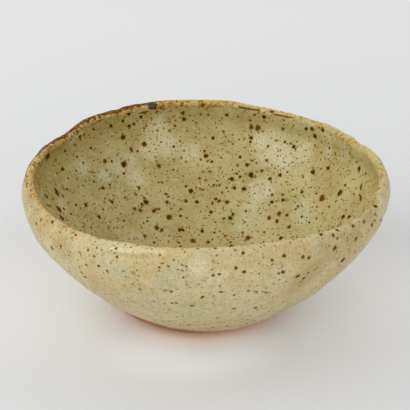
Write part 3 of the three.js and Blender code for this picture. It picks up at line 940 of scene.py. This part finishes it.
    for cell, radius, share in FINE_SPECKS:
        swayed = vector_maths(tree, "ADD", strewn_at, vector_maths(tree, "SCALE", sway, radius * 1.4))
        cells = node(tree, "TexVoronoi", {"Vector": swayed, "Scale": 1 / cell})
        parts = node(tree, "SeparateColor", {0: cells.outputs["Color"]}).outputs
        there = maths(tree, "LESS_THAN", parts[0], times(crowd, share))
        size = between(tree, parts[1], 0, 1, 0.5 * radius / cell, radius / cell)
        distance = cells.outputs["Distance"]
        core = times(between(tree, distance, times(size, 1.05), times(size, 0.6)), there)
        halo = times(between(tree, distance, times(size, 1.4), size), there)
        colour = iron(colour, core, halo, parts[2])
        cores = core if cores is None else maths(tree, "MAXIMUM", cores, core)
    way = vector_maths(tree, "ADD", attribute("iron_mark", "Vector"), vector_maths(tree, "SCALE", sway, 1.5))
    way = vector_maths(tree, "LENGTH", way)
    core = between(tree, way, 1.15, 0.72)
    colour = iron(colour, core, between(tree, way, 1.6, 1.05), attribute("mark_tone"))
    cores = maths(tree, "MAXIMUM", cores, core)

    # satin, glossier where it lies thick and dull where iron breaks through; orange peel with shallow pits
    clear = maths(tree, "SUBTRACT", 1.0, maths(tree, "MAXIMUM", cores, burnt))
    gloss = plus(between(tree, mottle, 0.35, 0.65, 0.12, 0.34), times(attribute("milky_and_highlight"), 0.35))
    peel = plus(times(noise_at(tree, place, 420, 2), 0.6), times(grain, 0.12))
    plug(tree, tree.nodes.new("NodeGroupOutput"), {
        "Color": colour, "Roughness": between(tree, clear, 0, 1, 0.6, 0.42), "Gloss": times(gloss, clear),
        "Height": maths(tree, "SUBTRACT", peel, times(cores, 0.25)),
    })
    return tree


glaze_group = ash_glaze()

# Each glaze where it lies thick and where it lies thin
CREAM = (tint(198, 188, 146), tint(193, 175, 126))
OLIVE = (tint(191, 180, 127), tint(179, 164, 106))


def glazed_with(name, **its_own):
    """A satin glaze material from the shared group, with its own colours and strengths."""
    material, tree, surface = new_material(name)
    glaze = tree.nodes.new("ShaderNodeGroup")
    glaze.node_tree = glaze_group
    plug(tree, glaze, {"Thick Inside": OLIVE[0], "Thin Inside": OLIVE[1], **its_own})
    plug(tree, surface, {
        "Base Color": glaze.outputs["Color"], "Roughness": glaze.outputs["Roughness"],
        "Coat Weight": glaze.outputs["Gloss"], "Coat Roughness": 0.22, "Specular IOR Level": 0.03,
        "Normal": bump(tree, glaze.outputs["Height"], 0.35, 0.0006),
    })
    return material


outer_coat = painted(pressed(wiped(coat(0, LIP_START, rolled))))
cream_glaze = glazed_with("cream_glaze", Thick=CREAM[0], Thin=CREAM[1], Pool=tint(182, 181, 146),
                          Iron=tint(84, 60, 8), Flecks=0.62, Runs=0.55, Specks=0.33, Veil=0.06)
finished(outer_coat, "outer_coat", cream_glaze, "outer_glaze")


# Lip glaze. The same glaze, where it drew thin over the sharp lip, so the iron in the clay turned it amber
# and burnt its outer edge at the back left.
lip_coat = painted(pressed(coat(LIP_START, LIP_END, thinned)))
broken_glaze = glazed_with("broken_glaze", Thick=CREAM[0], Thin=CREAM[1], Pool=tint(182, 178, 140),
                           Iron=tint(78, 50, 6), Flecks=0.6, Runs=0.2, Specks=0.85, Veil=0.05)
finished(lip_coat, "lip_coat", broken_glaze, "lip_glaze")


# Kiln slag. A drop of slag and ash that fell from the kiln's roof on the lip while the glaze was soft, and
# stuck fast there as a small dark glassy lump.
SLAG_AT = (152.0, 105.8)  # in the photograph
SLAG_HALF = Vector((0.0030, 0.0017, 0.0013))
SLAG_SUNK = 0.0003
SLAG_LUMPY = 0.35
SLAG_LUMPS_AT = Vector((2, 0, 5))
SLAG_TINTS = (tint(44, 32, 20), tint(84, 68, 46))
slag_place, _ = spot_under(*SLAG_AT)
slag_place, slag_out, _, _ = guide_surface.find_nearest(slag_place)
slag_along = Vector((0, 0, 1)).cross(Vector((slag_place.x, slag_place.y, 0))).normalized()
slag_across = slag_out.cross(slag_along).normalized()
slag = bmesh.new()
bmesh.ops.create_icosphere(slag, subdivisions=4, radius=1)
for vert in slag.verts:
    lump = vert.co * (1 + SLAG_LUMPY * noise.noise(vert.co * 1.7 + SLAG_LUMPS_AT))
    lump = Vector(half * side for half, side in zip(SLAG_HALF, lump))
    vert.co = slag_place + slag_along * lump.x + slag_across * lump.y + slag_out * (lump.z - SLAG_SUNK)
slag_glass, slag_tree, slag_surface = new_material("slag_glass")
slag_grain = noise_at(slag_tree, node(slag_tree, "TexCoord").outputs["Object"], 900, 3, 0.6)
slag_colour = mix(slag_tree, between(slag_tree, slag_grain, 0.4, 0.62), *SLAG_TINTS)
slag_roughness = between(slag_tree, slag_grain, 0.3, 0.7, 0.5, 0.3)
plug(slag_tree, slag_surface, {"Base Color": slag_colour, "Roughness": slag_roughness,
                               "Normal": bump(slag_tree, slag_grain, 0.4, 0.0003)})
finished(slag, "kiln_slag", slag_glass, None)


# Inner glaze. The same ash glaze, poured in and swilled round. It lay sheltered in the kiln and took a
# greener olive, with the iron standing out darker.
inner_coat = painted(pressed(coat(LIP_END, len(glazed) - 1, thinned)))
olive_glaze = glazed_with("olive_glaze", Thick=OLIVE[0], Thin=OLIVE[1], Pool=tint(196, 195, 156),
                          Iron=tint(70, 48, 0), Flecks=0.5, Runs=0.1, Specks=1.0, Veil=0.0)
finished(inner_coat, "inner_coat", olive_glaze, "inner_glaze")


# Floor. A plain pale table that runs on behind the bowl.
floor_mesh = bmesh.new()
bmesh.ops.create_circle(floor_mesh, cap_ends=True, segments=96, radius=6)
floor_data = bpy.data.meshes.new("floor")
floor_mesh.to_mesh(floor_data)
floor_mesh.free()
floor = bpy.data.objects.new("floor", floor_data)
bpy.context.scene.collection.objects.link(floor)
# The camera, and what the glaze mirrors, see painted light on the table: it pales towards the back, a faint
# painted lift round the bowl stands for the light the white table throws back into the shadow, and near the
# bowl a painted peach stands for the light its bare clay throws.
TABLE_TINT = tint(240, 238, 236)
BLACK = tint(0, 0, 0)
SHOWN_TINTS = (tint(215, 216, 219), tint(224, 225, 226))  # in front and at the back
PALING = (0.05, 0.45)  # where it begins behind the bowl's middle, and ends
PAINTED_PEACH_BOUNCE = tint(216, 191, 169)
PAINTED_PEACH_REACH = (0.045, 0.035)  # from the middle, where it begins and where it is all there
# Each painted lift of the shadow: its middle, how much it is narrowed from front to back, how far from there
# it is whole and where it is gone, and its strength
LIFTS = ((Vector((0.014, -0.005, 0)), 1.6, (0.052, 0.175), 0.19),
         (Vector((-0.005, -0.050, 0)), 1.45, (0.014, 0.053), 0.17))
# The light's colour, by the distance from the glow's middle
CLAY_GLOW = ((0.033, (0.15, 0.05, 0)), (0.037, (0.72, 0.47, 0.3)), (0.041, (1, 0.76, 0.57)),
             (0.045, (1, 0.84, 0.68)), (0.051, (0.9, 0.87, 0.79)), (0.060, (0.83, 0.83, 0.83)))
GLOW_REACH = 0.1
GLOW_AT = (-0.003, 0, 0)
table, tree, surface = new_material("pale_table")
place = node(tree, "TexCoord").outputs["Object"]
paling = between(tree, node(tree, "SeparateXYZ", {0: place}).outputs["Y"], *PALING)
light_path = node(tree, "LightPath").outputs
to_camera = maths(tree, "MAXIMUM", light_path["Is Camera Ray"], light_path["Is Glossy Ray"])
shown = mix(tree, paling, *SHOWN_TINTS)
# Painted peach bounce light from the bare clay, seen by the camera near the bowl
shown = mix(tree, between(tree, vector_maths(tree, "LENGTH", place), *PAINTED_PEACH_REACH), shown, PAINTED_PEACH_BOUNCE)
lift = 0.0
for middle, narrowed, (near, far), strength in LIFTS:
    away = vector_maths(tree, "MULTIPLY", vector_maths(tree, "SUBTRACT", place, middle), (1, narrowed, 1))
    one_lift = between(tree, vector_maths(tree, "LENGTH", away), far, near)
    lift = maths(tree, "ADD", lift, maths(tree, "MULTIPLY", one_lift, strength))
from_glow = vector_maths(tree, "DISTANCE", place, GLOW_AT)
glow = node(tree, "ValToRGB", {0: maths(tree, "DIVIDE", from_glow, GLOW_REACH)})
stops = glow.color_ramp.elements
for stop in range(len(CLAY_GLOW) - 2):
    stops.new(0.5)
for stop, (distance, colour) in zip(stops, CLAY_GLOW):
    stop.position = distance / GLOW_REACH
    stop.color = (*colour, 1)
thrown_back = vector_maths(tree, "SCALE", glow.outputs["Color"], lift)
plug(tree, surface, {"Base Color": mix(tree, to_camera, TABLE_TINT, shown), "Roughness": 0.8,
                     "Emission Color": mix(tree, to_camera, BLACK, thrown_back), "Emission Strength": 1})
floor_data.materials.append(table)


# Light. A large soft lamp at the left and above, a weaker one low at the front, and a pale room around.
LIT_AT = Vector((0, 0, 0.04))


def soft_lamp(name, place, size, power, colour):
    lamp_data = bpy.data.lights.new(name, "AREA")
    lamp_data.shape = "DISK"
    lamp_data.size = size
    lamp_data.energy = power
    lamp_data.color = colour
    lamp = bpy.data.objects.new(name, lamp_data)
    lamp.location = place
    lamp.rotation_euler = (LIT_AT - lamp.location).to_track_quat("-Z", "Y").to_euler()
    bpy.context.scene.collection.objects.link(lamp)


soft_lamp("key_lamp", Vector((-0.9, -0.2, 1.0)), size=1.0, power=4.7, colour=(1, 0.99, 0.97))
soft_lamp("front_lamp", Vector((-0.3, -1.5, 0.4)), size=1.2, power=3, colour=(1, 1, 1))
room = bpy.data.worlds.new("room")
room.use_nodes = True
plug(room.node_tree, room.node_tree.nodes["Background"], {"Color": (1, 1, 0.985, 1), "Strength": 0.88})
bpy.context.scene.world = room

bpy.context.scene.view_settings.view_transform = "Standard"
